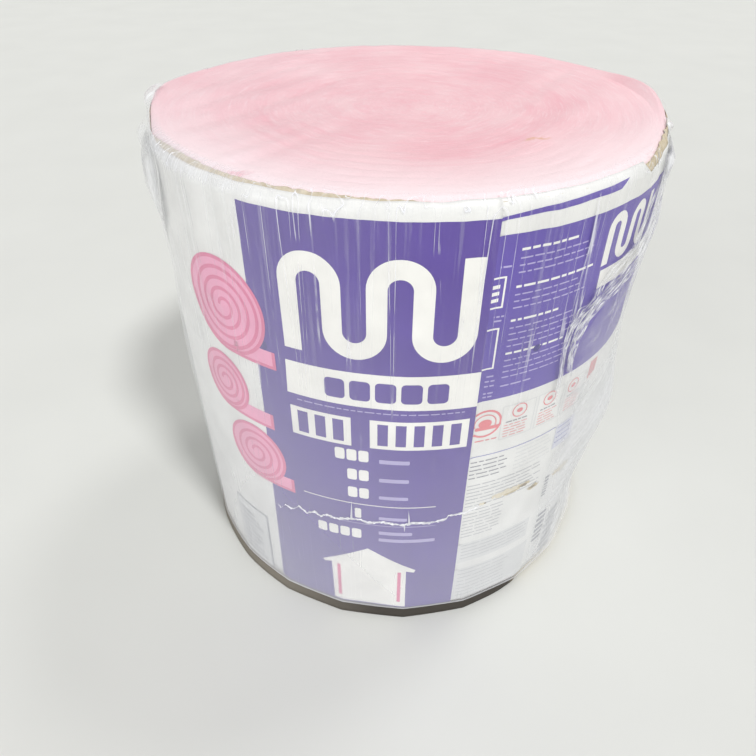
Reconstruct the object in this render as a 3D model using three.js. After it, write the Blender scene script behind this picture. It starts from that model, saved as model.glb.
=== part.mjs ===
import * as THREE from "three";

// Roll of faced glass-fibre insulation, in millimetres, +Z up.
// It stands on one end at Z = 0 with the front of its printed wrapper towards -Y.

// Wound blanket.
const blanketWidth = 381;
const blanketRadius = 186.6;
const coreRadius = 20;
const turnThickness = 11.9;
const shoulderRounding = 9.5;
const grooveWidth = 2.4;
const grooveDepth = 2.6;
const topDish = 5;

// Skins round the blanket, from the inside out.
const seatGap = 0.3;
const kraftThickness = 0.5;
const wrapperThickness = 0.4;
const filmThickness = 0.4;

// How far each skin follows the rounded shoulders, in degrees from the level.
const bottomTuck = 40;
const wrapperTurnIn = 50;
const kraftTurnIn = 70;

// Steps round the roll, and where the wrapper's end lies over its start.
const roundSteps = 52;
const seamStep = 2;
const lapSteps = 2;

// The blanket's turns and the shoulders of its outermost turn.
const turnCount = Math.max(1, Math.round((blanketRadius - coreRadius) / turnThickness));
const turnPitch = (blanketRadius - coreRadius) / turnCount;
const shoulder = Math.min(shoulderRounding, turnPitch - grooveWidth);
const shoulderRadius = blanketRadius - shoulder;

// Distance of each skin's inner face from the blanket's side.
const kraftOffset = seatGap;
const wrapperOffset = kraftOffset + kraftThickness + seatGap;
const lapOffset = wrapperOffset + wrapperThickness + seatGap;
const filmOffset = lapOffset + wrapperThickness + seatGap;

function standUp(geometry) {
  return geometry.rotateX(Math.PI / 2);
}

function turned(profile) {
  return standUp(new THREE.LatheGeometry(profile, roundSteps));
}

// Point of a skin's section: angle below the level is at the foot, above it at the rim.
function sectionPoint(offset, angle, centreHeight) {
  const turn = THREE.MathUtils.degToRad(angle);
  const reach = shoulder + offset;
  return new THREE.Vector2(
    shoulderRadius + reach * Math.cos(turn),
    centreHeight + reach * Math.sin(turn)
  );
}

function footPoint(offset, angle) {
  return sectionPoint(offset, -angle, shoulder);
}

function rimPoint(offset, angle) {
  return sectionPoint(offset, angle, blanketWidth - shoulder);
}

// Angles that all the skins share, so that they lie evenly on one another.
const footAngles = [bottomTuck, bottomTuck / 2, 0];
const rimAngles = [0, wrapperTurnIn / 2, wrapperTurnIn];

// Side section of a skin, from its tuck at the foot to its edge over the rim.
function skinSection(offset, furtherTurnIn = []) {
  return [
    ...footAngles.map((angle) => footPoint(offset, angle)),
    ...[...rimAngles, ...furtherTurnIn].map((angle) => rimPoint(offset, angle))
  ];
}

// The top sinks gently from the rim towards the middle.
function topHeight(radius) {
  const share = radius / shoulderRadius;
  return blanketWidth - topDish * (1 - share * share);
}

// One end of the winding from the middle outwards: flat turns with a groove between them.
function windingEnd(heightAt, into) {
  const points = [new THREE.Vector2(0, heightAt(0))];
  for (let turn = 0; turn < turnCount; turn += 1) {
    const middle = coreRadius + turn * turnPitch;
    const from = middle - grooveWidth / 2;
    const to = middle + grooveWidth / 2;
    points.push(new THREE.Vector2(from, heightAt(from)));
    points.push(new THREE.Vector2(middle, heightAt(middle) + into * grooveDepth));
    points.push(new THREE.Vector2(to, heightAt(to)));
  }
  return points;
}

function fiberBlanket() {
  const foot = windingEnd(() => 0, 1);
  const top = windingEnd(topHeight, -1);
  const side = [
    footPoint(0, 90),
    footPoint(0, (90 + bottomTuck) / 2),
    ...skinSection(0, [kraftTurnIn, 90])
  ];
  return turned([...foot, ...side, ...top.reverse()]);
}

function kraftFacing() {
  const outside = skinSection(kraftOffset + kraftThickness, [kraftTurnIn]);
  const inside = skinSection(kraftOffset, [kraftTurnIn]);
  return turned([...outside, ...inside.reverse(), outside[0]]);
}

// Plan of the wrapper: once round the roll, then out over its own start.
function wrapperPlan() {
  const inside = [];
  const outside = [];
  for (let step = 0; step <= roundSteps + lapSteps; step += 1) {
    const offset = step < roundSteps ? wrapperOffset : lapOffset;
    const radius = blanketRadius + offset;
    const azimuth = (2 * Math.PI * (step + seamStep - lapSteps)) / roundSteps;
    const away = new THREE.Vector2(Math.sin(azimuth), -Math.cos(azimuth));
    inside.push(away.clone().multiplyScalar(radius));
    outside.push(away.clone().multiplyScalar(radius + wrapperThickness));
  }
  return new THREE.Shape([...outside, ...inside.reverse()]);
}

// The wrapper's sheet stands upright first, then each level is laid onto the roll's section.
function printedWrapper() {
  const levels = skinSection(0).length - 1;
  const sheet = new THREE.ExtrudeGeometry(wrapperPlan(), {
    depth: levels,
    steps: levels,
    bevelEnabled: false
  });
  const places = sheet.attributes.position;
  for (let i = 0; i < places.count; i += 1) {
    const radius = Math.hypot(places.getX(i), places.getY(i));
    const section = skinSection(radius - blanketRadius);
    const laid = section[Math.round(places.getZ(i))];
    const draw = laid.x / radius;
    places.setXYZ(i, places.getX(i) * draw, places.getY(i) * draw, laid.y);
  }
  sheet.computeVertexNormals();
  return sheet;
}

// Section of one face of the film: up the side, over both skins' edges, onto the fibre.
function filmSection(offset, clearance) {
  return [
    ...skinSection(offset),
    rimPoint(kraftOffset + kraftThickness + clearance, kraftTurnIn),
    rimPoint(clearance, 90),
    new THREE.Vector2(shoulderRadius / 2, topHeight(shoulderRadius / 2) + clearance),
    new THREE.Vector2(0, topHeight(0) + clearance)
  ];
}

function stretchFilm() {
  const inside = filmSection(filmOffset, seatGap);
  const outside = filmSection(filmOffset + filmThickness, seatGap + filmThickness);
  return turned([...inside.reverse(), ...outside]);
}

function piece(name, geometry, look) {
  const mesh = new THREE.Mesh(geometry, new THREE.MeshStandardMaterial(look));
  mesh.name = name;
  return mesh;
}

const roll = new THREE.Group();
roll.name = "insulation_roll";
roll.add(piece("fiber_blanket", fiberBlanket(), { color: 0xf4ccd3, roughness: 0.95 }));
roll.add(piece("kraft_facing", kraftFacing(), { color: 0xc2b08c, roughness: 0.85 }));
roll.add(piece("printed_wrapper", printedWrapper(), { color: 0x75679f, roughness: 0.4 }));
roll.add(
  piece("stretch_film", stretchFilm(), {
    color: 0xf2f2f4,
    roughness: 0.15,
    transparent: true,
    opacity: 0.25
  })
);

export default roll;
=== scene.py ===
import math
import random
from functools import partial

import bmesh
import bpy
from mathutils import Matrix, Vector, noise


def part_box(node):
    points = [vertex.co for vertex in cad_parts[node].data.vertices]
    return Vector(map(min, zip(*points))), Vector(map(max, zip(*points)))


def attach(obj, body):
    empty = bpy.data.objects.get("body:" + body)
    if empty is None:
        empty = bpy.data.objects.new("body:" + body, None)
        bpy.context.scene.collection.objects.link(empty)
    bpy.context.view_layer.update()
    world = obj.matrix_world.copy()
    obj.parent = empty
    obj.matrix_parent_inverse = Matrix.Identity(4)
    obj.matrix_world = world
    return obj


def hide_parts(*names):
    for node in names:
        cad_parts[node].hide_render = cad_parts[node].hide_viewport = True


# A roll of faced glass-fibre blanket in its printed wrapper and stretch film.
# It stands on one end, with the front of its label towards -Y. Lengths are metres.

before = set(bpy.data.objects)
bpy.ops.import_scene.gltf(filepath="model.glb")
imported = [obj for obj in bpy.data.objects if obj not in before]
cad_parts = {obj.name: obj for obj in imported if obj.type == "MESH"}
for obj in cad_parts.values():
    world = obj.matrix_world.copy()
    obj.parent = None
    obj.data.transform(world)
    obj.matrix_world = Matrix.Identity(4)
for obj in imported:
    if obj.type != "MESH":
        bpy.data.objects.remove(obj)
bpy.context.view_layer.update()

MM = 0.001
CIRCLE = 2 * math.pi
QUARTER = math.pi / 2

# The wound blanket, as the frame has it.
BLANKET_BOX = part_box("fiber_blanket")
RADIUS = BLANKET_BOX[1].x
WIDTH = BLANKET_BOX[1].z
TURN = 11.9 * MM
CORE = 20 * MM
SHOULDER = 9.5 * MM
SHOULDER_RADIUS = RADIUS - SHOULDER
SIDE_TOP = WIDTH - SHOULDER
TOP_DISH = 5 * MM

# The skins' places outwards from the blanket's side.
KRAFT_OUT = 0.55 * MM
WRAPPER_OUT = 1.3 * MM
LAP_RISE = 0.7 * MM
FILM_OUT = 2.7 * MM
STRIPS_OUT = 3.8 * MM
INK_LIFT = 0.06 * MM

# Where the skins end, as distances up the side that go on over both shoulders.
KRAFT_FOOT = 0.4 * MM
FOOT_EDGE = 10.5 * MM
FILM_FOOT = 9.2 * MM
WRAPPER_EDGE = SIDE_TOP + SHOULDER * math.radians(50)
RIM_END = SIDE_TOP + SHOULDER * QUARTER

# The wrapper's columns are the angle that its overlap holds twelve of.
COLUMNS = 312
COLUMN = CIRCLE / COLUMNS
LAP_COLUMNS = 12
SEAM = COLUMN * LAP_COLUMNS
RAMP = COLUMN * 6
LABEL_RADIUS = (RADIUS + FILM_OUT) / MM
SEAM_X = SEAM * LABEL_RADIUS

chance = random.Random(13)


def ramp(value, low, high):
    """0 below low, 1 above high, and eased between them."""
    share = min(1.0, max(0.0, (value - low) / (high - low)))
    return share * share * (3 - 2 * share)


def bell(value, middle, spread):
    return math.exp(-(((value - middle) / spread) ** 2))


def rows_between(low, high, step):
    count = max(1, round((high - low) / step))
    return [low + (high - low) * row / count for row in range(count + 1)]


def through(points, at):
    """The second number of a short list of pairs, read between its entries."""
    if at <= points[0][0]:
        return points[0][1]
    for (start, low), (end, high) in zip(points, points[1:]):
        if at <= end:
            return low + (high - low) * (at - start) / (end - start)
    return points[-1][1]


# ---------------- the roll's form

# The foot of the roll has gone slightly flat between its many stiff folds.
HEM_SIDES = 22
HEM_TURN = math.radians(1)
HEM_HEIGHT = 75 * MM
HEM_FLAT = 1.5 * MM
SLUMP = 0.9 * MM
PUCKER = 0.9 * MM

# Where the wool has been knocked in: azimuth and its spread in degrees, height and its spread,
# and reach, in millimetres.
DENTS = (
    (66, 15, 62, 42, -7.5),
    (66, 16, 258, 34, -1.8),
    (-70, 14, 278, 22, -2.2),
    (-74, 14, 360, 34, -5.6),
    (70, 12, 374, 12, -2.8),
)

# Where its shoulder has bulged out or been pressed down, listed alike.
SWELLS = (
    (96, 15, 384, 16, 5.3),
    (-94, 15, 384, 14, 4.2),
    (180, 28, 384, 16, -1.5),
    (-180, 40, 384, 16, -1.5),
)


def swelling(places, azimuth, h):
    """How far the places listed stand out at a point of the side."""
    degrees = math.degrees((azimuth + math.pi) % CIRCLE - math.pi)
    return MM * sum(
        reach * bell(degrees, middle, spread) * bell(h / MM, height, tall)
        for middle, spread, height, tall, reach in places
    )


def relief(azimuth, h):
    """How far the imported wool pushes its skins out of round, the same for all of them."""
    side = CIRCLE / HEM_SIDES
    across = (azimuth - HEM_TURN) % side - side / 2
    flat = HEM_FLAT * ((2 * across / side) ** 2 - 0.8) * (1 - ramp(h, 0, HEM_HEIGHT))
    flat *= 0.35 + 0.65 * ramp(math.cos(azimuth - 0.3), 0.4, 0.9)
    wave = noise.noise(Vector((2.6 * math.sin(azimuth), 2.6 * math.cos(azimuth), h / (110 * MM))))
    ring = Vector((17 * math.sin(azimuth), 17 * math.cos(azimuth), h / (70 * MM)))
    pucker = PUCKER * noise.noise(ring) * ramp(h, SIDE_TOP - 55 * MM, SIDE_TOP)
    uneven = flat + SLUMP * wave + pucker + swelling(DENTS, azimuth, h)
    on_side = ramp(h, -0.5 * SHOULDER, 0.5 * SHOULDER) * (1 - ramp(h, SIDE_TOP, RIM_END + SHOULDER))
    return uneven * on_side


def top_height(radius):
    """The end of the winding sinks gently from its rim to its middle."""
    return WIDTH - TOP_DISH * (1 - min(1.0, radius / SHOULDER_RADIUS) ** 2)


CREASE_DIRECTION = math.radians(56)


def top_pull(x, y):
    """Soft folds that the stretched film draws across the wool of the top, deepest on the left."""
    along = x * math.cos(CREASE_DIRECTION) + y * math.sin(CREASE_DIRECTION)
    across = y * math.cos(CREASE_DIRECTION) - x * math.sin(CREASE_DIRECTION)
    folds = noise.noise(Vector((across / (15 * MM), along / (120 * MM), 4.0)))
    swell = noise.noise(Vector((x / (75 * MM), y / (75 * MM), 9.0)))
    pull = 0.3 + 1.1 * ramp(-x, 15 * MM, 105 * MM) + 0.5 * ramp(x, 40 * MM, 100 * MM)
    rim = 1 - ramp(math.hypot(x, y), 0.9 * SHOULDER_RADIUS, SHOULDER_RADIUS)
    return (1.5 * MM * folds * pull + 1.6 * MM * swell) * rim


def section(h, out):
    """Radius and height of what lies `out` off the wool, at distance h up its side."""
    reach = SHOULDER + out
    if h < SHOULDER:
        turn = (h - SHOULDER) / SHOULDER
        return SHOULDER_RADIUS + reach * math.cos(turn), SHOULDER + reach * math.sin(turn)
    if h <= RIM_END:
        turn = max(0.0, h - SIDE_TOP) / SHOULDER
        return SHOULDER_RADIUS + reach * math.cos(turn), min(h, SIDE_TOP) + reach * math.sin(turn)
    radius = max(0.0, SHOULDER_RADIUS - (h - RIM_END))
    return radius, top_height(radius) + out


def on_roll(azimuth, h, out):
    """Point of a skin on the roll. Azimuth 0 faces -Y and grows towards +X."""
    radius, height = section(h, out + relief(azimuth, h) + swelling(SWELLS, azimuth, h))
    place = Vector((radius * math.sin(azimuth), -radius * math.cos(azimuth), height))
    if h > RIM_END:
        place.z += top_pull(place.x, place.y)
    return place


def lap_rise(azimuth):
    """The wrapper's end climbs onto its start just before a full turn."""
    return LAP_RISE * min(1.0, max(0.0, (azimuth - CIRCLE + RAMP) / RAMP))


# ---------------- materials

# A fine pattern in soft steps, one unit wide, for coordinates that are already drawn out.
GRAIN = {"Scale": 1.0, "Detail": 3.0, "Roughness": 0.6}


def srgb(code):
    """Linear colour of an sRGB hex code."""
    parts = [int(code[i : i + 2], 16) / 255 for i in (1, 3, 5)]
    return (*[p / 12.92 if p <= 0.04045 else ((p + 0.055) / 1.055) ** 2.4 for p in parts], 1.0)


def connect(made, values):
    """Gives a node's inputs, by name or in their order, a socket each or a plain value."""
    for key, value in values.items() if isinstance(values, dict) else enumerate(values):
        if isinstance(value, bpy.types.NodeSocket):
            made.id_data.links.new(value, made.inputs[key])
        else:
            made.inputs[key].default_value = value


def add_node(tree, kind, values=(), **settings):
    """Adds a node with its settings and its inputs' values, and returns its outputs."""
    made = tree.nodes.new("ShaderNode" + kind)
    for name, value in settings.items():
        setattr(made, name, value)
    connect(made, values)
    return made.outputs


def start_material(name, values):
    """A new material, its surface shader with the numbers it keeps, and a way to add nodes."""
    material = bpy.data.materials.new(name)
    material.use_nodes = True
    shader = material.node_tree.nodes["Principled BSDF"]
    connect(shader, values)
    return material, shader, partial(add_node, material.node_tree)


def glass_wool():
    """Spun glass fibre, dyed pink and cut square: matt, with its fibres lying along the turns."""
    material, shader, node = start_material(
        "glass_wool", {"Roughness": 0.95, "Specular IOR Level": 0.25, "Sheen Weight": 0.2}
    )
    place = node("TexCoord")["Object"]
    flat = node("VectorMath", [place, (1, 1, 0)], operation="MULTIPLY")[0]
    reach = node("VectorMath", [flat], operation="LENGTH")["Value"]
    around = node("VectorMath", [flat], operation="NORMALIZE")[0]
    # Fibres lie round the roll; their 1.4 mm bundles are drawn, not single fibres. Whole turns
    # differ a little in shade from one to the next.
    windings = []
    for width, repeats, detail, rough in ((1.4 * MM, 6, 3.0, 0.6), (9 * MM, 1.6, 2.0, 0.5)):
        outward = node("Math", [reach, 1 / width], operation="MULTIPLY")[0]
        stack = node("CombineXYZ", {"Z": outward})[0]
        round_roll = (repeats, repeats, 0)
        lying = node("VectorMath", [around, round_roll, stack], operation="MULTIPLY_ADD")[0]
        grain = {"Vector": lying, "Scale": 1.0, "Detail": detail, "Roughness": rough}
        windings.append(node("TexNoise", grain)[0])
    fibres, turns = windings
    clouds, fluff = (
        node("TexNoise", {"Vector": place, "Scale": 1 / size, "Detail": detail})[0]
        for size, detail in ((55 * MM, 3.0), (1.6 * MM, 4.0))
    )
    near_rim = node("MapRange", [reach, 110 * MM, 176 * MM])[0]
    forward = node("SeparateXYZ", [place])["Y"]
    in_front = node("MapRange", [forward, -130 * MM, 40 * MM, 1.0, 0.1])[0]
    # Each shade that is laid over the pink, with its strength.
    shades = [
        ("#EFB9C1", node("MapRange", [clouds, 0.35, 0.68])[0]),
        ("#EEA7B4", node("MapRange", [turns, 0.48, 0.78, 0.0, 0.4])[0]),
        ("#FFF0F3", node("MapRange", [fibres, 0.5, 0.8, 0.0, 0.35])[0]),
        # The last of these is a painted highlight: the wool pales near the rim, towards the front.
        ("#FFEAED", node("Math", [near_rim, in_front], operation="MULTIPLY")[0]),
    ]

    # Stains on the top: a scorch, a resin drip and a patch of strong dye.
    tearing = {"Vector": place, "Scale": 1 / (7 * MM), "Detail": 3.0}
    ragged = node("TexNoise", tearing, normalize=False)["Color"]
    torn = node("VectorMath", [ragged, (5 * MM,) * 3, place], operation="MULTIPLY_ADD")[0]
    for x, y, stretch, size, code, strength in (
        (-1, -147, (1, 1, 1), 2.0, "#A56B4A", 0.9),
        (81, -82, (0.45, 1.5, 1), 5.5, "#D9A86C", 0.55),
        (-98, -149, (0.55, 1, 1), 5.5, "#E88098", 0.42),
    ):
        aside = node("VectorMath", [torn, (x * MM, y * MM, WIDTH)], operation="SUBTRACT")[0]
        drawn = node("VectorMath", [aside, stretch], operation="MULTIPLY")[0]
        away = node("VectorMath", [drawn], operation="LENGTH")["Value"]
        stain = node("MapRange", [away, 0.4 * size * MM, size * MM, strength, 0.0])[0]
        shades.append((code, stain))
    colour = srgb("#F4CACF")
    for code, strength in shades:
        colour = node("Mix", {0: strength, 6: colour, 7: srgb(code)}, data_type="RGBA")[2]

    height = node("Math", [fibres, fluff], operation="ADD")[0]
    bump = node("Bump", {"Height": height, "Strength": 0.45, "Distance": 0.8 * MM})[0]
    connect(shader, {"Base Color": colour, "Normal": bump})
    return material


def kraft_paper():
    """Kraft paper with a bitumen coat behind it: dull brown, mottled by its pulp, with painted shade at
    its foot.
    """
    material, shader, node = start_material("kraft_paper", {"Roughness": 0.82})
    place = node("TexCoord")["Object"]
    axes = node("SeparateXYZ", [place])
    pulp = node("TexNoise", {"Vector": place, "Scale": 1 / (3 * MM), "Detail": 5.0})[0]
    mottling = node("MapRange", [pulp, 0.35, 0.65])[0]
    browns = {0: mottling, 6: srgb("#BEAF8E"), 7: srgb("#D6C9AD")}
    brown = node("Mix", browns, data_type="RGBA")[2]
    # Its foot is painted dark, as painted shade for the shadow that falls under the hem: strongest
    # towards the front left, and darkest in front.
    shaded_side = (math.sin(SPLAY_AND_SHADE_TURN), -math.cos(SPLAY_AND_SHADE_TURN), 0)
    toward = node("VectorMath", [place, shaded_side], operation="DOT_PRODUCT")["Value"]
    most = node("MapRange", [toward, 4 * MM, 25 * MM])[0]
    painted_shade = node("MapRange", [axes["Z"], 9 * MM, 14 * MM, most, 0.0])[0]
    in_front = node("MapRange", [axes["X"], -110 * MM, -20 * MM])[0]
    shade_tones = {0: in_front, 6: srgb("#7C766C"), 7: srgb("#3F3A34")}
    shade_colour = node("Mix", shade_tones, data_type="RGBA")[2]
    colour = node("Mix", {0: painted_shade, 6: brown, 7: shade_colour}, data_type="RGBA")[2]
    bump = node("Bump", {"Height": pulp, "Strength": 0.4, "Distance": 0.4 * MM})[0]
    connect(shader, {"Base Color": colour, "Normal": bump})
    return material


def printed_polythene(name, code):
    """White polythene or one ink printed on it: an even colour with a satin shine.
    Fine creases run up the sheet where it was pulled tight round the wool."""
    material, shader, node = start_material(
        name, {"Roughness": 0.42, "IOR": 1.51, "Coat Weight": 0.35, "Coat Roughness": 0.22}
    )
    place = node("TexCoord")["Object"]
    upright = node("VectorMath", [place, (130, 130, 9)], operation="MULTIPLY")[0]
    creases = node("TexNoise", {"Vector": upright, **GRAIN})[0]
    wear = node("TexNoise", {"Vector": place, "Scale": 1 / (28 * MM), "Detail": 4.0})[0]
    shade = node("MapRange", [wear, 0.3, 0.7, 0.93, 1.06])[0]
    colour = node("VectorMath", [srgb(code)[:3], shade], operation="MULTIPLY")[0]
    bump = node("Bump", {"Height": creases, "Strength": 0.05, "Distance": 0.5 * MM})[0]
    connect(shader, {"Base Color": colour, "Normal": bump})
    return material


def stretch_film():
    """Clear stretch film, blown polythene: nearly unseen where it lies flat.
    Haze whitens it where its layers part, and fine white lines mark where it was drawn tight; the lines
    are partly painted glints, strongest high up the side."""
    material, shader, node = start_material(
        "stretch_film", {"Base Color": srgb("#F1F2F8"), "Roughness": 0.24, "IOR": 1.5}
    )
    place = node("TexCoord")["Object"]
    axes = node("SeparateXYZ", [place])
    flat = node("VectorMath", [place, (1, 1, 0)], operation="MULTIPLY")[0]
    reach = node("VectorMath", [flat], operation="LENGTH")["Value"]
    on_side = node("MapRange", [reach, SHOULDER_RADIUS, RADIUS - 3 * MM])[0]

    # Up the side the film is drawn into lines 2 to 5 mm apart; over the top they run one way.
    upright = node("VectorMath", [place, (260, 260, 7)], operation="MULTIPLY")[0]
    across_top = {"Vector": place, "Angle": -CREASE_DIRECTION}
    turned = node("VectorRotate", across_top, rotation_type="Z_AXIS")[0]
    lengthwise = node("VectorMath", [turned, (6, 60, 0)], operation="MULTIPLY")[0]
    side_grain, top_grain = (
        node("TexNoise", {"Vector": drawn, **GRAIN})[0] for drawn in (upright, lengthwise)
    )
    grain = node("Mix", {0: on_side, 2: top_grain, 3: side_grain})[0]
    fine = node("MapRange", [grain, 0.55, 0.8, 0.0, 0.3])[0]
    # Hairlines stand where a slower pattern crosses its middle value.
    slower = {"Scale": 0.42, "Detail": 1.5, "Roughness": 0.4, "Distortion": 0.2}
    wide = node("TexNoise", {"Vector": upright, **slower})[0]
    off_middle = node("Math", [wide, 0.5], operation="SUBTRACT")[0]
    distance = node("Math", [off_middle], operation="ABSOLUTE")[0]
    hairlines = node("MapRange", [distance, 0.0, 0.012, on_side, 0.0])[0]
    clouds = node("TexNoise", {"Vector": place, "Scale": 1 / (30 * MM), "Detail": 2.0})[0]
    patches = node("MapRange", [clouds, 0.42, 0.6])[0]
    lines = node("Math", [hairlines, patches, fine], operation="MULTIPLY_ADD")[0]
    # Painted highlight in part: the white lines are made much stronger high up the side, where the film
    # glints.
    upper = node("MapRange", [axes["Z"], 200 * MM, 350 * MM, 0.03, 0.8])[0]
    on_top = node("MapRange", [on_side, 0.0, 1.0, 0.18, 1.0])[0]
    strength = node("Math", [upper, on_top], operation="MULTIPLY")[0]
    # Hazier towards the foot, and duller towards the left.
    haze = node("MapRange", [axes["Z"], 30 * MM, 340 * MM, 0.28, 0.02])[0]
    leftward = node("MapRange", [axes["X"], -110 * MM, 10 * MM, 1.0, 0.0])[0]
    clouded = node("Math", [leftward, 0.12, haze], operation="MULTIPLY_ADD")[0]
    veil = node("Math", [lines, strength, clouded], operation="MULTIPLY_ADD")[0]

    # Bent over the rim on the front left it turns milky in short ticks that point to the middle: partly
    # crimped film, partly painted glints.
    around = node("VectorMath", [flat], operation="NORMALIZE")[0]
    spokes = node("VectorMath", [around, (110, 110, 0)], operation="MULTIPLY")[0]
    ticks = node("TexNoise", {"Vector": spokes, "Scale": 1.0, "Detail": 2.0})[0]
    ticked = node("MapRange", [ticks, 0.48, 0.7, 0.25, 0.5])[0]
    to_left = node("MapRange", [axes["X"], -160 * MM, -75 * MM, 1.0, 0.2])[0]
    in_front = node("MapRange", [axes["Y"], -90 * MM, -50 * MM, 1.0, 0.0])[0]
    most = node("Math", [to_left, in_front], operation="MULTIPLY")[0]
    crimps_and_glints = node("Math", [ticked, most], operation="MULTIPLY")[0]
    near_edge = node("MapRange", [reach, RADIUS - 12 * MM, RADIUS - 8 * MM])[0]
    high = node("MapRange", [axes["Z"], WIDTH - 9 * MM, WIDTH - 4 * MM])[0]
    at_rim = node("Math", [near_edge, high], operation="MULTIPLY")[0]
    crimped = node("Math", [crimps_and_glints, at_rim, veil], operation="MULTIPLY_ADD")[0]
    hem = node("MapRange", [axes["Z"], FOOT_EDGE, FOOT_EDGE + MM, 0.25, 0.0])[0]
    alpha = node("Math", [crimped, hem], operation="ADD", use_clamp=True)[0]
    depth = node("MapRange", [axes["Z"], 200 * MM, 350 * MM, 0.03, 0.12])[0]
    bump = node("Bump", {"Height": grain, "Strength": depth, "Distance": 0.9 * MM})[0]
    connect(shader, {"Alpha": alpha, "Normal": bump})
    return material


def crumpled_film(name, pleats, low, high, depth, thinning):
    """Stretch film gathered into folds: many layers, milky, with bright ridges along them.
    pleats gives how many folds lie along and across the piece, and depth how sharp they are.
    It thins out to nothing, raggedly, over the share of the piece that thinning gives."""
    material, shader, node = start_material(
        name, {"Base Color": srgb("#F5F6F8"), "Roughness": 0.2, "IOR": 1.5}
    )
    spread = node("UVMap", uv_map="folds")[0]
    drawn = node("VectorMath", [spread, (*pleats, 1)], operation="MULTIPLY")[0]
    folds = node("TexNoise", {"Vector": drawn, **GRAIN, "Distortion": 0.5})[0]
    alpha = node("MapRange", [folds, 0.42, 0.62, low, high])[0]
    mirrored = node("VectorMath", [spread], operation="ABSOLUTE")[0]
    borders = node("SeparateXYZ", [mirrored])
    inner, outer = 0.5 - 0.55 * thinning, 0.5 + 0.45 * thinning
    for axis in "XY":
        torn = [folds, 1.6 * thinning, borders[axis]]
        ragged = node("Math", torn, operation="MULTIPLY_ADD")[0]
        thin = node("MapRange", [ragged, outer, inner])[0]
        alpha = node("Math", [alpha, thin], operation="MULTIPLY")[0]
    bump = node("Bump", {"Height": folds, "Strength": depth, "Distance": 1.6 * MM})[0]
    connect(shader, {"Alpha": alpha, "Normal": bump})
    return material


def layered_film():
    """Two or three loose laps of stretch film: cloudy, in torn-looking slanting patches."""
    material, shader, node = start_material(
        "layered_stretch_film", {"Base Color": srgb("#F4F5F9"), "Roughness": 0.28, "IOR": 1.5}
    )
    place = node("TexCoord")["Object"]
    slant = node("VectorRotate", {"Vector": place, "Angle": -0.6}, rotation_type="X_AXIS")[0]
    drawn = node("VectorMath", [slant, (45, 22, 90)], operation="MULTIPLY")[0]
    soft = {"Scale": 0.8, "Detail": 2.0, "Roughness": 0.5, "Distortion": 0.3}
    clouds = node("TexNoise", {"Vector": drawn, **soft})[0]
    # The laps lie closer together above the printed panel's foot than below it.
    level = node("SeparateXYZ", [place])["Z"]
    least = node("MapRange", [level, 190 * MM, 270 * MM, 0.3, 0.14])[0]
    cloudy = node("MapRange", [clouds, 0.5, 0.75, least, 0.54])[0]
    # The layer is clear at both its ends, and grows cloudy within a few millimetres in front.
    spread = node("UVMap", uv_map="folds")[0]
    inward = node("SeparateXYZ", [spread])["X"]
    grown = node("MapRange", [inward, -0.5, -0.455, 0.35, 1.0])[0]
    ended = node("MapRange", [inward, 0.5, 0.0])[0]
    ends = node("Math", [grown, ended], operation="MULTIPLY")[0]
    alpha = node("Math", [cloudy, ends], operation="MULTIPLY")[0]
    bump = node("Bump", {"Height": clouds, "Strength": 0.08, "Distance": 1.5 * MM})[0]
    connect(shader, {"Alpha": alpha, "Normal": bump})
    return material


def pale_floor():
    """A plain pale worktop, sealed and dull."""
    material, shader, node = start_material("pale_floor", {"Roughness": 0.7})
    place = node("TexCoord")["Object"]
    clouds = node("TexNoise", {"Vector": place, "Scale": 6.0})[0]
    greys = {0: clouds, 6: srgb("#D8D9D5"), 7: srgb("#DFE0DC")}
    connect(shader, {"Base Color": node("Mix", greys, data_type="RGBA")[2]})
    return material


# ---------------- making pieces


def finished(name, bm, materials, slot=None, replaced=None):
    """Makes a smooth piece of a mesh that is already in place, fixes it to the frame if it has a slot,
    and hides the imported part that it replaces.
    """
    mesh = bpy.data.meshes.new(name)
    bm.to_mesh(mesh)
    bm.free()
    for material in materials:
        mesh.materials.append(material)
    for face in mesh.polygons:
        face.use_smooth = True
    piece = bpy.data.objects.new(name, mesh)
    bpy.context.scene.collection.objects.link(piece)
    if slot:
        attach(piece, "root")
    if replaced:
        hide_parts(replaced)
    return piece


def thicken(piece, thickness, offset):
    """Gives a sheet its thickness: over its face for an offset of 1, behind it for -1."""
    solid = piece.modifiers.new("thickness", "SOLIDIFY")
    solid.thickness = thickness
    solid.offset = offset


def wound_grid(columns, rows, place, bm=None):
    """A flat grid whose vertices are put where `place` says for their column and row.
    It faces outwards where columns go round to the right and rows go up."""
    if bm is None:
        bm = bmesh.new()
    made = bmesh.ops.create_grid(bm, x_segments=columns, y_segments=rows, size=0.5)
    folds = bm.loops.layers.uv.get("folds") or bm.loops.layers.uv.new("folds")
    for vertex in made["verts"]:
        for corner in vertex.link_loops:
            corner[folds].uv = vertex.co.xy
        column = round((vertex.co.x + 0.5) * columns)
        row = round((vertex.co.y + 0.5) * rows)
        vertex.co = place(column, row)
    return bm


def close_up(bm):
    """Joins the edges that meet."""
    bmesh.ops.remove_doubles(bm, verts=bm.verts[:], dist=0.01 * MM)


def round_off(bm, corners, rounding, segments):
    """Rounds the corners of a flat outline."""
    bmesh.ops.bevel(
        bm, geom=corners, offset=rounding, segments=segments, affect="VERTICES",
        profile=0.5, material=-1,
    )


def spin(bm, outline, centre, angle, steps):
    """Spins an outline about an upright axis, and closes it after a full turn."""
    bmesh.ops.spin(
        bm, geom=outline, cent=centre, axis=(0, 0, 1), dvec=(0, 0, 0), angle=angle, steps=steps,
        use_merge=angle == CIRCLE, use_duplicate=False,
    )


# ---------------- wound blanket

GROOVE_WIDTH = 1.7 * MM
TOP_STEP = 1.6 * MM
SIDE_STEP = 8 * MM


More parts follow.
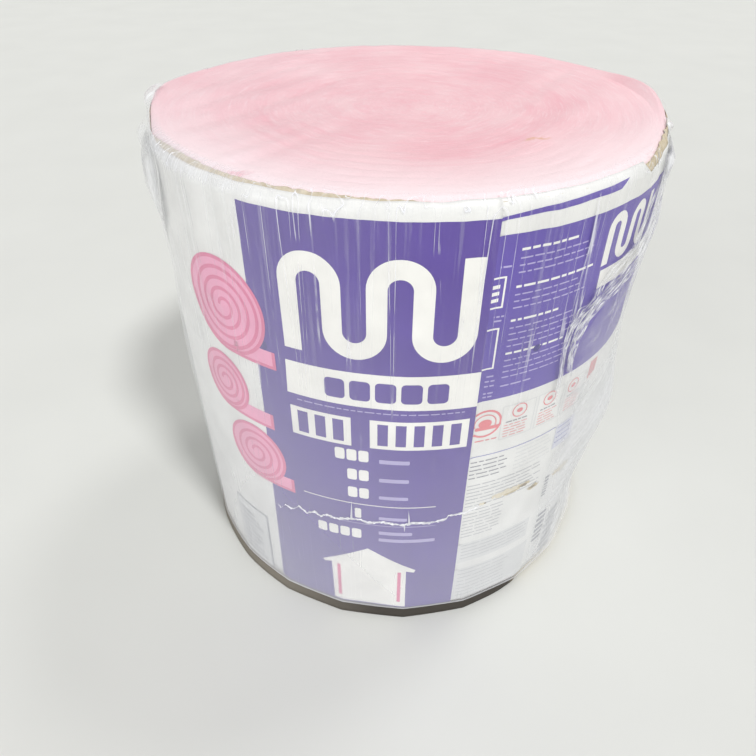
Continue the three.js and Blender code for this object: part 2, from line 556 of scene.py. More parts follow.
def groove(radius, azimuth, depth):
    """The spiral cleft between one turn of the blanket and the next."""
    turns = (radius - CORE) / TURN - azimuth / CIRCLE
    aside = abs(turns - round(turns)) * TURN
    return depth * bell(aside, 0, GROOVE_WIDTH) * ramp(radius, 0.4 * CORE, 1.2 * CORE)


def overhang(azimuth, turn):
    """At the back the wool has swollen out over its skins, most at 62 degrees up the corner."""
    return 2.0 * MM * (1 - ramp(math.cos(azimuth), -0.05, 0.2)) * bell(math.degrees(turn), 62, 20)


def wound_blanket(material):
    """Spun from half its section: a rounded corner at foot and rim, then the turns pressed in."""
    bm = bmesh.new()
    stand = Matrix.Translation((RADIUS / 2, 0, WIDTH / 2)) @ Matrix.Rotation(QUARTER, 4, "X")
    bmesh.ops.create_grid(
        bm, x_segments=1, y_segments=1, size=0.5, matrix=stand @ Matrix.Diagonal((RADIUS, WIDTH, 1, 1))
    )
    round_off(bm, [v for v in bm.verts if v.co.x > SHOULDER], SHOULDER, 8)
    for face in bm.faces[:]:
        bm.faces.remove(face)
    for edge in [e for e in bm.edges if max(v.co.x for v in e.verts) < MM]:
        bm.edges.remove(edge)
    for edge in bm.edges[:]:
        length = edge.calc_length()
        level = abs(edge.verts[0].co.z - edge.verts[1].co.z) < MM
        if length > 2 * SHOULDER:
            cuts = round(length / (TOP_STEP if level else SIDE_STEP)) - 1
            bmesh.ops.subdivide_edges(bm, edges=[edge], cuts=cuts)
    spin(bm, bm.verts[:] + bm.edges[:], (0, 0, 0), CIRCLE, COLUMNS)
    for vertex in bm.verts:
        x, y, z = vertex.co
        radius = math.hypot(x, y)
        azimuth = math.atan2(x, -y)
        if radius > SHOULDER_RADIUS + 0.1 * MM:
            level = min(max(z, SHOULDER), SIDE_TOP)
            turn = math.asin((z - level) / SHOULDER)
            vertex.co = on_roll(azimuth, level + SHOULDER * turn, overhang(azimuth, turn))
        elif z > WIDTH / 2:
            rough = 0.35 * MM * noise.noise(Vector((x, y, 0)) / (6 * MM))
            vertex.co.z = top_height(radius) + top_pull(x, y) + rough
            uneven = max(0.1, 0.5 + 1.3 * noise.noise(Vector((x, y, 0)) / (60 * MM)))
            uneven *= ramp(radius, 40 * MM, 150 * MM)
            vertex.co.z -= groove(radius, azimuth, 0.4 * MM) * uneven
        else:
            vertex.co.z = groove(radius, azimuth, 2.4 * MM)
    close_up(bm)
    bmesh.ops.recalc_face_normals(bm, faces=bm.faces[:])
    return finished("wound_blanket", bm, [material], "glass_fibre", "fiber_blanket")


# ---------------- kraft facing

KRAFT_COLUMNS = 2 * COLUMNS
KRAFT_EDGE_ROWS = 9
# The side where the facing's foot splays out, and where the painted shade at its foot is strongest.
SPLAY_AND_SHADE_TURN = math.radians(-50)

# How far the facing turns in over the rim, in degrees, by azimuth in degrees.
KRAFT_TURN_IN = [
    (-180, 30), (-92, 30), (-70, 34), (-64, 58), (-55, 73), (-42, 70), (-34, 62), (-22, 64),
    (-8, 60), (-2, 56), (5, 46), (12, 36), (45, 36), (50, 38), (55, 54), (60, 65), (68, 66), (73, 48),
    (78, 26), (95, 26), (110, 30), (180, 30),
]


def kraft_sheet(material):
    """The facing round the outermost turn, its edge crimped over the rim."""
    side_rows = [
        *rows_between(KRAFT_FOOT, SHOULDER, 3 * MM)[:-1],
        *rows_between(SHOULDER, SIDE_TOP, 16 * MM)[:-1],
        *rows_between(SIDE_TOP, WRAPPER_EDGE - 2 * MM, 1.6 * MM),
    ]
    rows = len(side_rows) - 1 + KRAFT_EDGE_ROWS

    def place(column, row):
        azimuth = CIRCLE * column / KRAFT_COLUMNS - math.pi
        if row < len(side_rows):
            h = side_rows[row]
            spot = on_roll(azimuth, max(h, SHOULDER), KRAFT_OUT)
            if h < SHOULDER:
                # The stiff paper stands down to the floor, splayed on the left, drawn in right.
                splayed = ramp(math.cos(azimuth - SPLAY_AND_SHADE_TURN), 0, 0.25)
                splayed += 0.45 * ramp(math.cos(azimuth + 0.35), 0.6, 1)
                spot *= 1 + (0.026 * splayed - 0.012) * (1 - h / SHOULDER)
                spot.z = h
            return spot
        degrees = through(KRAFT_TURN_IN, math.degrees(azimuth))
        ring = Vector((30 * math.sin(azimuth), 30 * math.cos(azimuth), 0))
        edge = SIDE_TOP + SHOULDER * math.radians(degrees) + 0.9 * MM * noise.noise(ring)
        share = (row - len(side_rows) + 1) / KRAFT_EDGE_ROWS
        h = side_rows[-1] + (edge - side_rows[-1]) * share
        crimp = noise.noise(2.2 * ring + Vector((0, 0, 1.5 * share)))
        return on_roll(azimuth, h, KRAFT_OUT + 0.9 * MM * (0.4 + crimp) * share)

    bm = wound_grid(KRAFT_COLUMNS, rows, place)
    close_up(bm)
    piece = finished("kraft_sheet", bm, [material], "kraft_paper", "kraft_facing")
    thicken(piece, 0.25 * MM, 1)
    return piece


# ---------------- printed wrapper

SHEET_ROWS = [
    *rows_between(FOOT_EDGE, SIDE_TOP, 8 * MM)[:-1],
    *rows_between(SIDE_TOP, WRAPPER_EDGE, 2.1 * MM),
]

# How far the wrapper's upper edge has slid down, by azimuth: on the right, and round the back.
EDGE_DROP = [
    (47.5, 0), (49, 8), (52, 6.5), (58, 4), (66, 4), (85, 4), (105, 6), (180, 7), (255, 6),
    (272, 2), (280, 0),
]
LOOSE_ROWS = 9


def wrapper_sheet(material):
    """The polythene sheet: once round the roll, and on over its own start."""
    rows = len(SHEET_ROWS) - 1
    steady = SHEET_ROWS[-1 - LOOSE_ROWS]

    def place(column, row):
        azimuth = COLUMN * column
        h = SHEET_ROWS[row]
        if h > steady:
            drop = through(EDGE_DROP, math.degrees(azimuth)) * MM
            ring = Vector((8 * math.sin(azimuth), 8 * math.cos(azimuth), 3))
            drop += 0.8 * MM * noise.noise(ring)
            h -= drop * (h - steady) / (SHEET_ROWS[-1] - steady)
        return on_roll(azimuth, h, WRAPPER_OUT + lap_rise(azimuth))

    bm = wound_grid(COLUMNS + LAP_COLUMNS, rows, place)
    piece = finished("wrapper_sheet", bm, [material], "printed_film", "printed_wrapper")
    thicken(piece, 0.2 * MM, -1)
    return piece


# ---------------- the label's print
# The label is drawn flat, in millimetres: x round the roll from the middle of its front, and
# y up from the floor. A shape's layer is its height over the sheet, in steps of INK_LIFT.

INKS = {
    "purple": "#5A439C",
    "bright_purple": "#624FAB",
    "white": "#F6F5F0",
    "lavender": "#B5ACD8",
    "soft_pink": "#F4A4C6",
    "rose": "#E3759F",
    "pale_red": "#E8868C",
    "grey": "#97989F",
    "soft_grey": "#BDBEC2",
    "pale_grey": "#E1E2E1",
    "blue": "#8385C0",
    "pale_blue": "#DCDDE8",
    "violet": "#3C2D82",
    "cream": "#E6DDC6",
    "tan": "#CDBE99",
    "umber": "#8E8168",
}
INK_ORDER = [None, *INKS]


def lay(bm, ink, layer):
    """Inks the faces that have no ink yet, and sets their layer."""
    for face in bm.faces:
        if face.material_index == 0:
            face.material_index = INK_ORDER.index(ink)
            for vertex in face.verts:
                vertex.co.z = layer


def shape(bm, ink, layer, *corners):
    """A straight-sided patch with the corners given, anticlockwise."""
    bm.faces.new([bm.verts.new((x, y, layer)) for x, y in corners])
    lay(bm, ink, layer)


def bar(bm, ink, layer, left, right, low, high, rounding=0.0):
    """A level rectangle, its corners rounded if a rounding is given."""
    size = Matrix.Diagonal((right - left, high - low, 1, 1))
    place = Matrix.Translation(((left + right) / 2, (low + high) / 2, 0)) @ size
    made = bmesh.ops.create_grid(bm, x_segments=1, y_segments=1, size=0.5, matrix=place)
    if rounding:
        round_off(bm, made["verts"], rounding, 4)
    lay(bm, ink, layer)


def blocks(bm, ink, layer, count, left, pitch, width, low, high, rounding):
    """A row of plain blocks, where bold figures would stand."""
    for block in range(count):
        start = left + pitch * block
        bar(bm, ink, layer, start, start + width, low, high, rounding)


def frame_line(bm, ink, layer, left, right, low, high, width):
    """The outline of a box."""
    for start, end in ((high - width, high), (low, low + width)):
        bar(bm, ink, layer, left, right, start, end)
    for start, end in ((left, left + width), (right - width, right)):
        bar(bm, ink, layer, start, end, low + width, high - width)


def disc(bm, ink, layer, x, y, radius, squash=1.0):
    place = Matrix.Translation((x, y, 0)) @ Matrix.Diagonal((1, squash, 1, 1))
    bmesh.ops.create_circle(bm, cap_ends=True, segments=32, radius=radius, matrix=place)
    lay(bm, ink, layer)


def arc(bm, ink, layer, x, y, radius, width, start=0, sweep=360):
    """Part of a ring, from the angle start, in degrees anticlockwise from the right."""
    turn = math.radians(start)
    ends = [
        bm.verts.new((x + reach * math.cos(turn), y + reach * math.sin(turn), 0))
        for reach in (radius - width / 2, radius + width / 2)
    ]
    steps = max(6, round(abs(sweep) * radius / 120))
    spin(bm, [*ends, bm.edges.new(ends)], (x, y, 0), math.radians(sweep), steps)
    lay(bm, ink, layer)


def serpentine(bm, ink, layer, left, low, height, pitch, stroke, legs=5):
    """The plan sign for insulation: upright legs joined by round turns."""
    half = pitch / 2
    turn = half + stroke / 2
    for leg in range(legs):
        x = left + stroke / 2 + leg * pitch
        foot = low if leg == 0 else low + turn
        head = low + height if leg == legs - 1 else low + height - turn
        bar(bm, ink, layer, x - stroke / 2, x + stroke / 2, foot, head)
        if leg < legs - 1:
            over = leg % 2 == 0
            y = low + height - turn if over else low + turn
            arc(bm, ink, layer, x + half, y, half, stroke, 0 if over else 180, 180)


def dashes(bm, ink, layer, left, right, y, height, longest):
    """One line of small print, kept as plain dashes."""
    x = left
    while x < right - 2:
        end = min(right, x + chance.uniform(0.3, 1.0) * longest)
        bar(bm, ink, layer, x, end, y - height / 2, y + height / 2)
        x = end + min(1.4, 0.16 * longest)


def paragraph(bm, ink, layer, left, right, low, high, pitch, height, longest):
    """Lines of small print down from high, each ending near the right."""
    y = high
    while y >= low:
        end = right - chance.uniform(0, 0.16) * (right - left)
        dashes(bm, ink, layer, left, end, y, height, longest)
        y -= pitch


def stud_row(bm, left, right, low, high, studs):
    """A framed wall in outline: a plate above and below, and upright studs."""
    plate = 3.2
    width = 5.2
    bar(bm, "white", 2, left, right, high - plate, high)
    bar(bm, "white", 2, left, right, low, low + plate)
    for stud in range(studs):
        x = left + (right - left - width) * stud / (studs - 1)
        bar(bm, "white", 2, x, x + width, low + plate, high - plate)


def front_panel(bm):
    """The purple front, with its big sign, name bar, wall row, sizes and house."""
    foot, head = 10.6, 370.6
    right_side = ((SEAM_X, foot), (SEAM_X, head))
    shape(bm, "purple", 1, (-112, foot), *right_side, (-105, head), (-105.5, 217), (-108.5, 112))
    serpentine(bm, "white", 2, left=-81, low=279, height=70, pitch=27.2, stroke=12.4)
    shape(bm, "white", 2, (-83, 241), (SEAM_X, 240), (SEAM_X, 268.5), (-82, 268.5))
    blocks(bm, "purple", 3, 5, -55, 16.8, 13.6, 246, 262, 3)
    dashes(bm, "lavender", 2, -76, 38, 236.6, 0.9, 8)
    stud_row(bm, -82, -38, 204, 230, 4)
    stud_row(bm, -25, 42, 204, 230, 6)

    # The sizes: blocks for the bold numbers, and a thin bar for each word beside them.
    for count, low, high in ((3, 189.5, 200.5), (2, 170, 181), (2, 151, 162)):
        blocks(bm, "white", 2, count, -33.2, -8.6, 7.2, low, high, 1.8)
    bar(bm, "white", 2, -78, 24, 143.5, 144.4)
    bar(bm, "white", 2, -37, -32, 128, 139, rounding=1.4)
    shape(bm, "lavender", 2, (-56, 121), (25, 121.6), (25, 122.3), (-56, 121.6))
    blocks(bm, "white", 2, 4, -68, 9.4, 7.6, 103.5, 114.5, 1.8)
    for right, low, high in (
        (3, 189.5, 193.3), (3, 170.5, 174.3), (3, 152, 155.4), (3, 128.4, 131.8),
        (7.5, 111, 114.8), (25.5, 102.5, 106.3),
    ):
        bar(bm, "lavender", 2, -18.5, right, low, high, rounding=0.8)

    # A plain gabled house whose walls are filled with pink.
    walls = ((-58, 12), (4.6, 12), (4.2, 64))
    gable = ((10.6, 62.2), (12, 65.6), (-27.2, 91.4), (-66.5, 65), (-64.6, 62.3), (-58.6, 64.4))
    shape(bm, "white", 2, *walls, *gable)
    bar(bm, "rose", 3, -53.8, -51, 19, 63)
    bar(bm, "rose", 3, -2.7, 0.1, 19, 62.6)
    disc(bm, "violet", 2, -98, 273.5, 2.6, 1.4)


def coil(bm, x, y, radius, turns, tail):
    """A rolled batt seen from its end: a filled disc, a spiral line and a loose tail."""
    line = 2.6
    disc(bm, "soft_pink", 2, x, y, radius)
    grow = (radius - line / 2 - 4) / (2 * turns)
    for half in range(2 * turns):
        over = half % 2 == 0
        middle = x + (grow / 2 if over else -grow / 2)
        arc(bm, "rose", 3, middle, y, 4 + grow * (half + 0.5), line, 0 if over else 180, 180)
    arc(bm, "rose", 3, x, y, radius, line)
    bar(bm, "soft_pink", 2, x, x + tail, y - radius, y - radius + 13)
    bar(bm, "rose", 3, x, x + tail, y - radius - line / 2, y - radius + line / 2)
    bar(bm, "rose", 3, x + tail - line, x + tail, y - radius, y - radius + 13)


def pink_coils(bm):
    """Three rolled batts, one over the other beside the purple front."""
    coil(bm, -131, 292, 35, 4, 41)
    coil(bm, -144, 224, 24, 3, 46)
    coil(bm, -120, 166, 27, 3, 34)


def parcel_label(bm):
    """A ruled grey box near the foot."""
    shape(bm, "grey", 1, (-166.4, 11), (-123.4, 11), (-120.8, 87), (-165.4, 84.4))
    shape(bm, "pale_grey", 2, (-165.2, 11), (-125.2, 11), (-122.8, 85), (-164.2, 82.8))
    for line in range(9):
        y = 18 + 6.6 * line
        dashes(bm, "grey", 3, -161, -130 - 5 * (line % 3), y, 2.0, 34)


def side_panel(bm):
    """The purple panel right of the seam, with columns of small print and half of a big sign."""
    bar(bm, "bright_purple", 1, SEAM_X, 262, 242.6, 360.4)
    lower = ((SEAM_X, 369), (65, 369.9), (102, 371), (129.4, 371.4))
    upper = ((137, 375.6), (111, 374.6), (86, 373.8), (65, 372.6), (SEAM_X, 371))
    shape(bm, "bright_purple", 1, *lower, *upper)
    headings = ((350.5, 102), (326.8, 119), (303.5, 96), (279, 105))
    for (y, right), below in zip(headings, (326.8, 303.5, 279, 254)):
        dashes(bm, "white", 2, 60.8, right, y, 1.6, 9)
        paragraph(bm, "lavender", 2, 60.8, 117, below + 5, y - 5.4, 4.5, 0.95, 8)
    dashes(bm, "lavender", 2, 60.8, 84, 253, 1.2, 9)
    for low, high in ((314, 335), (269, 300)):
        bar(bm, "white", 2, SEAM_X, 54, high - 1.2, high)
        bar(bm, "white", 2, SEAM_X, 54, low, low + 1.2)
        bar(bm, "white", 2, 52.8, 54, low + 1.2, high - 1.2)
    for y in (318.5, 323, 327.5):
        bar(bm, "white", 2, SEAM_X, 50.5, y, y + 2.4)
    for y in (341, 308, 305, 263, 259, 255, 249, 246):
        dashes(bm, "lavender", 2, SEAM_X + 1, 56, y, 1.2, 6)
    serpentine(bm, "white", 2, left=128, low=322, height=34, pitch=12.4, stroke=6.4)
    bar(bm, "white", 2, 129, 210, 306, 319)
    disc(bm, "violet", 3, 84, 277.6, 2.8)


def ladder(bm, left, right, low, high, thickest):
    """A column of level marks, one over the other."""
    y = low
    while y < high - thickest:
        height = chance.uniform(0.5, 1.0) * thickest
        bar(bm, "grey", 2, left, right, y, y + height, rounding=0.2 * height)
        y += height + 0.7 * thickest


def seal(bm, x, y, radius, start=0, sweep=360):
    """A plain round seal, or as much of one as the sheet over it leaves in sight."""
    arc(bm, "pale_red", 2, x, y, radius, 0.14 * radius, start, sweep)
    disc(bm, "pale_red", 2, x, y, 0.42 * radius, 0.8)


def white_band(bm):
    """The band of seals below the side panel, and the small print under its rule."""
    seal(bm, 54, 221.6, 11.6, start=-132, sweep=264)
    arc(bm, "pale_red", 3, 54, 221.6, 8, 0.8, -20, 220)
    bar(bm, "pale_red", 3, 47, 65, 216, 219, rounding=1)
    dashes(bm, "pale_red", 2, 48, 66, 206, 1, 8)
    for left, right, x in ((66, 93.4, 80), (95.2, 120, 106.4), (122, 146, 131)):
        frame_line(bm, "pale_grey", 2, left, right, 202.6, 233.8, 0.8)
        seal(bm, x, 226.8, 5.7)
        dashes(bm, "grey", 2, left + 4, right - 4, 218.4, 1, 5)
        paragraph(bm, "pale_red", 2, left + 3, right - 4, 205, 215.5, 2.6, 0.6, 9)
    for mark in range(4):
        bar(bm, "pale_red", 2, 150 + 2.6 * mark, 151.6 + 2.6 * mark, 222 + mark, 238)
    bar(bm, "blue", 2, SEAM_X, 122, 190.3, 191)
    bar(bm, "pale_blue", 2, 123, 146, 166, 191)
    bar(bm, "pale_grey", 1, SEAM_X, 116, 66, 91)
    bar(bm, "pale_grey", 1, SEAM_X, 120, 12, 57)
    margin = SEAM_X + 1.5
    for ink, layer, *block in (
        ("blue", 3, 125, 144, 169, 188, 5.2, 0.9, 2.4),
        ("pale_grey", 2, 84, 121, 166, 187, 4.2, 1.0, 26),
        ("grey", 2, margin, 78, 166, 185, 4.2, 1.1, 12),
        ("soft_grey", 2, margin, 116, 136, 160, 3.9, 0.9, 22),
        ("soft_grey", 2, margin, 84, 97, 131, 3.9, 0.9, 14),
        ("soft_grey", 2, margin, 114, 70, 88, 4.2, 0.7, 30),
        ("soft_grey", 2, margin, 100, 16, 54, 5.2, 0.7, 24),
    ):
        paragraph(bm, ink, layer, *block)
    # At the roll's right, two columns of bold level marks and a short one over them.
    ladder(bm, 128, 140, 46, 88, 4.6)
    ladder(bm, 146, 165, 13, 80, 6.4)
    ladder(bm, 125, 130, 110, 137, 2.6)


def smear(bm):
    """Dried glue wiped across the small print."""
    slant = Matrix.Rotation(math.radians(3), 4, "Z")
    long_smears = ((84, 140.8, 14.5, 3.2), (62, 136, 2.6, 1.4), (144, 132, 11, 3.0))
    thick = ((88, 138.6, 8, 1.0), (99, 141.4, 6.4, 2.2), (110.5, 132.8, 6.4, 2.2), (140, 130.4, 6, 0.9))
    burnt = ((98.6, 140.6, 4.2, 1.1), (109.6, 132.6, 3.8, 1.0), (64.4, 136.2, 1.0, 0.9))
    for ink, layer, spots in (("cream", 4, long_smears), ("tan", 5, thick), ("umber", 6, burnt)):
        for x, y, length, height in spots:
            place = Matrix.Translation((x, y, 0)) @ slant @ Matrix.Diagonal((length, height, 1, 1))
            made = bmesh.ops.create_circle(bm, cap_ends=True, segments=40, radius=1, matrix=place)
            for vertex in made["verts"]:
                vertex.co.y += 0.9 * height * noise.noise(vertex.co / 2.3)
            lay(bm, ink, layer)


def wrapper_print(inks):
    """Draws the label flat, cuts it along the sheet's columns and rows, and winds it on."""
    bm = bmesh.new()
    for draw in (front_panel, pink_coils, parcel_label, side_panel, white_band, smear):
        draw(bm)
    columns = [v.co.x / LABEL_RADIUS / COLUMN for v in bm.verts]
    steps = range(math.ceil(min(columns)), math.ceil(max(columns)))
    cuts = [((step * COLUMN * LABEL_RADIUS, 0, 0), (1, 0, 0)) for step in steps]
    cuts += [((0, row / MM, 0), (0, 1, 0)) for row in SHEET_ROWS]
    for spot, across in cuts:
        sheet = bm.verts[:] + bm.edges[:] + bm.faces[:]
        bmesh.ops.bisect_plane(bm, geom=sheet, dist=0.001, plane_co=spot, plane_no=across)
    for vertex in bm.verts:
        azimuth = vertex.co.x / LABEL_RADIUS
        wound = azimuth if vertex.co.x > SEAM_X + 0.01 else azimuth + CIRCLE
        out = WRAPPER_OUT + lap_rise(wound) + INK_LIFT * vertex.co.z
        vertex.co = on_roll(azimuth, vertex.co.y * MM, out)
    for face in bm.faces:
        face.material_index -= 1
        middle = face.calc_center_median()
        if face.normal.dot(Vector((middle.x, middle.y, 0))) < 0:
            face.normal_flip()
    return finished("wrapper_print", bm, inks, "printed_film")


# ---------------- stretch film

FILM_COLUMNS = 2 * COLUMNS
FILM_ROWS = [
    *rows_between(FILM_FOOT, SIDE_TOP, 8 * MM)[:-1],
    *rows_between(SIDE_TOP, RIM_END, 1.6 * MM)[:-1],
    *rows_between(RIM_END, RIM_END + SHOULDER_RADIUS, 5 * MM),
]

# Where the film stands off its skins, listed as the dents are.
SLACK = (
    (-72, 14, 200, 34, 1.5),
    (64, 13, 160, 34, 8.0),
    (64, 12, 322, 18, 2.6),
    (140, 30, 300, 60, 3.0),
    (-130, 26, 250, 70, 3.0),
)


def slack(azimuth, h):
    return swelling(SLACK, azimuth, h) * (1 - ramp(h, SIDE_TOP, RIM_END))


def pleat(azimuth, h):
    """Upright ripples in the film, strongest where it bends over the rim."""
    ring = Vector((24 * math.sin(azimuth), 24 * math.cos(azimuth), h / (140 * MM)))
    ripple = max(0.0, noise.noise(ring) + 0.1)
    strength = 0.2 + 0.3 * ramp(h, 120 * MM, 260 * MM) + 0.7 * bell(h, SIDE_TOP, 40 * MM)
    strength *= 0.3 + 0.7 * ramp(math.cos(azimuth), -0.3, 0.4)
    return 0.5 * MM * ripple * strength * (1 - ramp(h, RIM_END, RIM_END + 40 * MM))


def film_place(azimuth, h, out):
    """Point of the film: over the skins up the side, and close on the wool across the top."""
    lower = 1 - 0.55 * ramp(h, WRAPPER_EDGE, RIM_END + 10 * MM)
    return on_roll(azimuth, h, out * lower + slack(azimuth, h) + pleat(azimuth, h))


def film_wrap(material):
    """One skin of film up the side and across the top."""

    def place(column, row):
        azimuth = CIRCLE * column / FILM_COLUMNS - math.pi
        return film_place(azimuth, FILM_ROWS[row], FILM_OUT)

    bm = wound_grid(FILM_COLUMNS, len(FILM_ROWS) - 1, place)
    close_up(bm)
    return finished("film_wrap", bm, [material], "clear_film", "stretch_film")


def loose_out(h, extra):
    """How far out a loose lap lies. It lies closer near the rim."""
    return FILM_OUT + 0.2 * MM + extra * (1 - ramp(h, 340 * MM, 368 * MM))


# Left edge of the second layer of film on the right, as height and azimuth in degrees.
LAYER_EDGE = [
    (0, 37.3), (105, 36.9), (140, 36), (161, 37.6), (193, 36.5), (218, 34.4),
    (246, 36), (272, 36.5), (285, 41), (300, 47), (335, 56), (378, 62),
]
LAYER_TOP = 372 * MM
LAYER_END = math.radians(168)


def second_layer(material):
    """A further lap of film on the right, loose and hazy."""
    columns, rows = 150, 96

    def place(column, row):
        h = FILM_FOOT + (LAYER_TOP - FILM_FOOT) * row / rows
        start = math.radians(through(LAYER_EDGE, h / MM))
        azimuth = start + (LAYER_END - start) * column / columns
        lift = 1.2 * MM * max(0.0, noise.noise(Vector((9 * azimuth, h / (26 * MM), 2))))
        return film_place(azimuth, h, loose_out(h, 0.6 * MM + lift * ramp(column, 0, 12)))

    bm = wound_grid(columns, rows, place)
    return finished("film_second_layer", bm, [material], "clear_film")


# Strands of the gathered band: azimuth in degrees, height and half width in millimetres.
STRANDS = (
    (
        (57, 361, 2), (52, 348, 4.5), (49.5, 326, 5), (44, 318, 5), (39.5, 311, 4.5), (38.5, 301, 4.5),
        (34.8, 295, 4.5), (32.6, 286, 4.5), (32, 270, 4), (32.8, 248, 3.5), (33, 222, 2),
    ),
    (
        (62, 348, 7), (58, 322, 7), (52, 305, 6), (46.5, 300, 5), (41, 295, 4.5),
        (37, 288, 4.5), (35.3, 274, 4), (35, 260, 3.5), (36, 240, 2.5),
    ),
    (
        (66, 362, 5), (61, 350, 9), (57, 338, 9), (52, 320, 8), (46, 309, 6),
        (41, 303, 4.5), (37.5, 294, 4), (34.2, 280, 3.5), (34, 262, 3), (34.6, 246, 2),
    ),
)


def gathered_band(material):
    """Film drawn together into a slanting rope of three strands."""
    lengths, widths = 180, 12
    bm = bmesh.new()
    for number, strand in enumerate(STRANDS):
        course = [(n / (len(strand) - 1), Vector(point)) for n, point in enumerate(strand)]

        def place(column, row):
            along = column / lengths
            side = 2 * row / widths - 1
            azimuth, height, half = through(course, along)
            ragged = noise.noise(Vector((16 * along, 1.5 * side, 7 + number)))
            folds = noise.noise(Vector((7 * along, 3.5 * side, 3 + number)))
            half *= 1 + 0.35 * ragged
            extra = (1.2 + 0.3 * number + 1.3 * folds * (1 - side * side)) * MM
            turned = math.radians(azimuth) - 0.75 * side * half / LABEL_RADIUS
            h = (height + 0.65 * side * half + 1.2 * ragged) * MM
            return film_place(turned, h, loose_out(h, extra))

        wound_grid(lengths, widths, place, bm)
    # The strands run down to the left, so their faces have to be turned outwards.
    bmesh.ops.reverse_faces(bm, faces=bm.faces[:])
    return finished("film_gathered_band", bm, [material], "clear_film")


# Free edge of the film across the front: azimuth in degrees and height in millimetres.
FREE_EDGE = (
    (-32.4, 119), (-30.5, 114), (-29.1, 120.3), (-27, 118.8), (-25.1, 125.4), (-23.1, 120.8),
    (-21, 125.4), (-19.5, 122.4), (-17.9, 126), (-15.7, 124.2), (-12.7, 127), (-9.8, 128.3),
    (-8.3, 125.9), (-4.8, 128.2), (-0.2, 125.6), (2.6, 127.8), (5.8, 126.8), (9.9, 129.4),
    (10.3, 132.6), (14.4, 133), (19, 138),
)

# Thin white strips of film, each from an azimuth and height to another, and its width: three nicks of
# the free edge, then painted glints where folds shine, three over the rim on the right and one on the
# second layer.
NICKS_AND_GLINTS = (
    (-11.9, 127, -11.7, 150, 1.8),
    (1.4, 126, 1.1, 143, 1.8),
    (0.3, 126, 0.4, 118, 1.4),
    (50.3, 372.5, 53.8, 380.5, 1.4),
    (46.9, 376.5, 48.9, 379.5, 1.3),
    (49.5, 363.5, 49.1, 371.5, 1.4),
    (49.9, 133, 49.4, 141, 1.7),
)


def film_edge(material):
    """The film's crinkled free edge, its nicks, and white strips painted as glints of sharp folds."""
    lengths, widths = 420, 4
    start, end = FREE_EDGE[0][0], FREE_EDGE[-1][0]

    def place(column, row):
        degrees = start + (end - start) * column / lengths
        side = row / widths - 0.5
        at = Vector((0.9 * degrees, 0.3 * side, 5))
        thick = 1.5 + 1.4 * noise.noise(1.7 * at) - 0.8 * ramp(abs(degrees + 4), 14, 24)
        height = through(FREE_EDGE, degrees) + 0.9 * noise.noise(3.1 * at) + thick * side
        out = FILM_OUT + (0.4 + 0.5 * abs(noise.noise(2.3 * at))) * MM * (1 - 1.6 * side)
        return film_place(math.radians(degrees), height * MM, out)

    bm = wound_grid(lengths, widths, place)
    for start, low, end, high, wide in NICKS_AND_GLINTS:
        ends = []
        for aside, share in ((-0.5, 0), (0.5, 0), (0.35, 0.5), (0, 1), (-0.25, 0.5)):
            degrees = start + (end - start) * share
            azimuth = math.radians(degrees) + aside * wide / LABEL_RADIUS
            h = (low + (high - low) * share) * MM
            ends.append(bm.verts.new(film_place(azimuth, h, STRIPS_OUT)))
        bm.faces.new(ends if high > low else ends[::-1])
    return finished("film_free_edge", bm, [material], "clear_film")


# Loose film at the rim: its left and right edge as azimuth, foot and head, and how far it
# stands out by height. Degrees and millimetres.
FLAPS = (
    (
        "film_left_flap",
        (-84, 300, 386),
        (-53, 300, 383),
        (
            (300, 0), (318, 0.3), (329, 1.5), (335, 4.6), (339, 6.4), (348, 8.3), (362, 7.7),
            (370, 5.3), (372, 5.3), (374.7, 7.2), (379, 4.5), (384, 1.4), (388, 0),
        ),
    ),
    (
        "film_left_fold",
        (-72, 322, 386),
        (-61, 334, 378),
        ((322, 0), (334, 1.6), (348, 3.4), (362, 3.2), (374, 2.0), (386, 0)),
    ),
    ("film_left_bead", (-95, 373, 388), (-83, 373, 386), ((373, 0), (379, 4.2), (384, 4), (388, 0))),
    (
        "film_right_flap",
        (57, 352, 374.5),
        (80, 334, 376),
        ((334, 0), (346, 0.8), (352, 1.5), (362, 4.4), (368, 2.6), (373, 0.6), (378, 0.2)),
    ),
    ("film_right_nub", (70, 374, 383), (77, 374, 383), ((374, 0), (378, 1.6), (383, 0))),
)


def rim_flap(material, name, left, right, profile):
    """A fold of film that stands off the side and is tucked in over the rim."""
    columns, rows = 48, 72

    def place(column, row):
        side = 2 * column / columns - 1
        degrees, low, high = (a + (b - a) * column / columns for a, b in zip(left, right))
        rounded = 0.3 * side * side + 0.25 * noise.noise(Vector((2.5 * side, 0, left[0])))
        low += max(0.0, rounded) * (high - low)
        up = low + (high - low) * row / rows
        crumple = noise.noise(Vector((3 * side, up / 22, left[0])))
        reach = through(profile, up + 2 * crumple)
        # Its borders are tucked in under the film, close on the wrapper.
        off = (reach + min(reach, 1.4)) * (1 - side * side) ** 1.5 * (1 + 0.1 * crumple)
        return film_place(math.radians(degrees), up * MM, WRAPPER_OUT + (0.2 + off) * MM)

    bm = wound_grid(columns, rows, place)
    return finished(name, bm, [material], "clear_film")


# ---------------- stage


# The eye stands in front of the roll, above its top, and looks down at it.
EYE = (-19.3 * MM, -491.6 * MM, 511.9 * MM)
EYE_PITCH = math.radians(38.88)
EYE_ROLL = math.radians(0.19)
FLOOR_REACH = 12


def floor(material):
    bm = bmesh.new()
    bmesh.ops.create_grid(bm, x_segments=1, y_segments=1, size=FLOOR_REACH)
    piece = finished("floor", bm, [material])


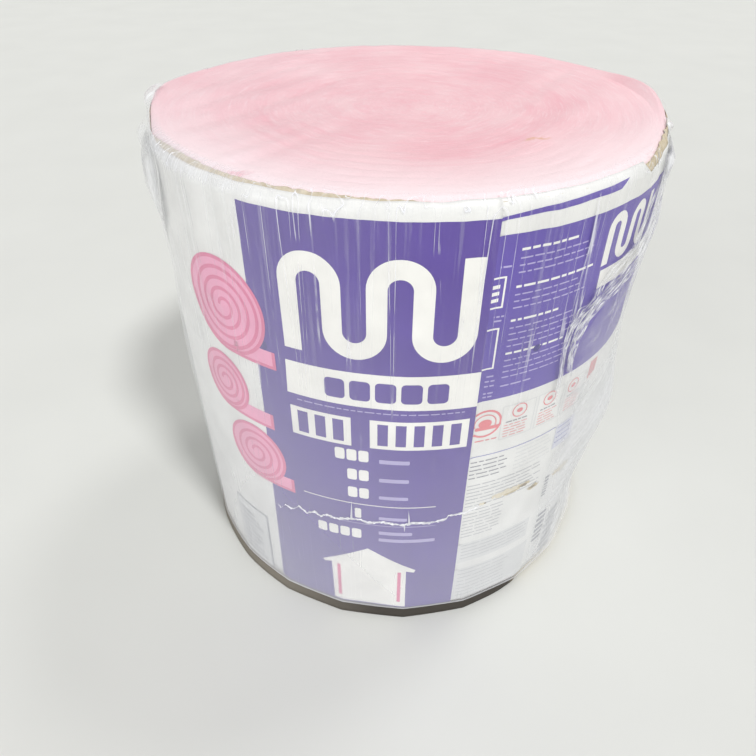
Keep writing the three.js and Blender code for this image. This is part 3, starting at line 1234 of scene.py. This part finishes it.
def lamps():
    """A soft sun from the front right, a weaker one from the back, a fill and a pale world."""
    for name, strength, spread, tilt, turn in (
        ("key", 1.6, 9, 36, 38),
        ("back", 0.5, 12, 30, 130),
        ("fill", 0.98, 40, 78, -45),
    ):
        sun = bpy.data.lights.new(name, "SUN")
        sun.energy = strength
        sun.angle = math.radians(spread)
        lamp = bpy.data.objects.new(name, sun)
        lamp.rotation_euler = (math.radians(tilt), 0, math.radians(turn))
        bpy.context.scene.collection.objects.link(lamp)
    world = bpy.data.worlds.new("studio")
    world.use_nodes = True
    node = partial(add_node, world.node_tree)
    path = node("LightPath")
    seen = path["Is Camera Ray"]
    for ray in ("Is Glossy Ray", "Is Transmission Ray"):
        seen = node("Math", [seen, path[ray]], operation="MAXIMUM")[0]
    skies = {0: seen, 6: (0.45, 0.447, 0.445, 1), 7: srgb("#E6E7E3")}
    colour = node("Mix", skies, data_type="RGBA")[2]
    connect(world.node_tree.nodes["Background"], {"Color": colour})
    bpy.context.scene.world = world


def camera():
    data = bpy.data.cameras.new("camera")
    data.sensor_width = 36
    data.lens = 30
    eye = bpy.data.objects.new("camera", data)
    eye.location = EYE
    turn = Matrix.Rotation(QUARTER - EYE_PITCH, 3, "X") @ Matrix.Rotation(EYE_ROLL, 3, "Z")
    eye.rotation_euler = turn.to_euler()
    bpy.context.scene.collection.objects.link(eye)
    bpy.context.scene.camera = eye


bpy.context.scene.view_settings.view_transform = "Standard"
camera()
lamps()
floor(pale_floor())

blanket = wound_blanket(glass_wool())
kraft_sheet(kraft_paper())

sheet = wrapper_sheet(printed_polythene("white_polythene", "#EDEDEA"))
printed = wrapper_print([printed_polythene("ink_" + ink, code) for ink, code in INKS.items()])

rope = crumpled_film("gathered_stretch_film", (14, 6), 0.08, 0.9, 0.7, 0.03)
edge = crumpled_film("free_edge_of_film", (40, 1.5), 0.55, 1.0, 0.5, 0.03)
loop = crumpled_film("loose_stretch_film", (7, 1.2), 0.4, 0.9, 0.3, 0.16)
film = film_wrap(stretch_film())
loose = [second_layer(layered_film()), gathered_band(rope), film_edge(edge)]
loose += [rim_flap(loop, *flap) for flap in FLAPS]
